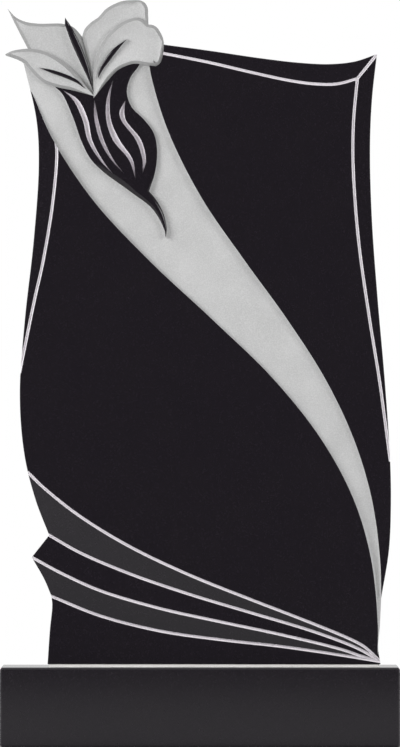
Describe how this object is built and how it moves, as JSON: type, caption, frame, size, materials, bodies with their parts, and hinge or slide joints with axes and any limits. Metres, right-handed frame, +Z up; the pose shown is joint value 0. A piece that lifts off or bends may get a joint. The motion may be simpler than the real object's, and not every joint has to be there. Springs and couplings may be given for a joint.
{
  "type": "upright headstone",
  "caption": "Upright headstone: a tall waved stele with a lily, a sunk ribbon and pleats carved on its polished face, on a low block base.",
  "frame": {"origin": "centre of the base's underside, on the ground", "axes": "+Z up, the carved face looks along -Y, +X to the right as seen from the front, away from the lily"},
  "size_m": [0.6, 0.2, 1.1231],
  "materials": {
    "stele_stone": "polished",
    "base_stone": "polished",
    "setting_compound": "matte"
  },
  "bodies": {
    "root": {"stele": "stele_stone", "setting_bed": "setting_compound", "base": "base_stone"}
  },
  "joints": []
}
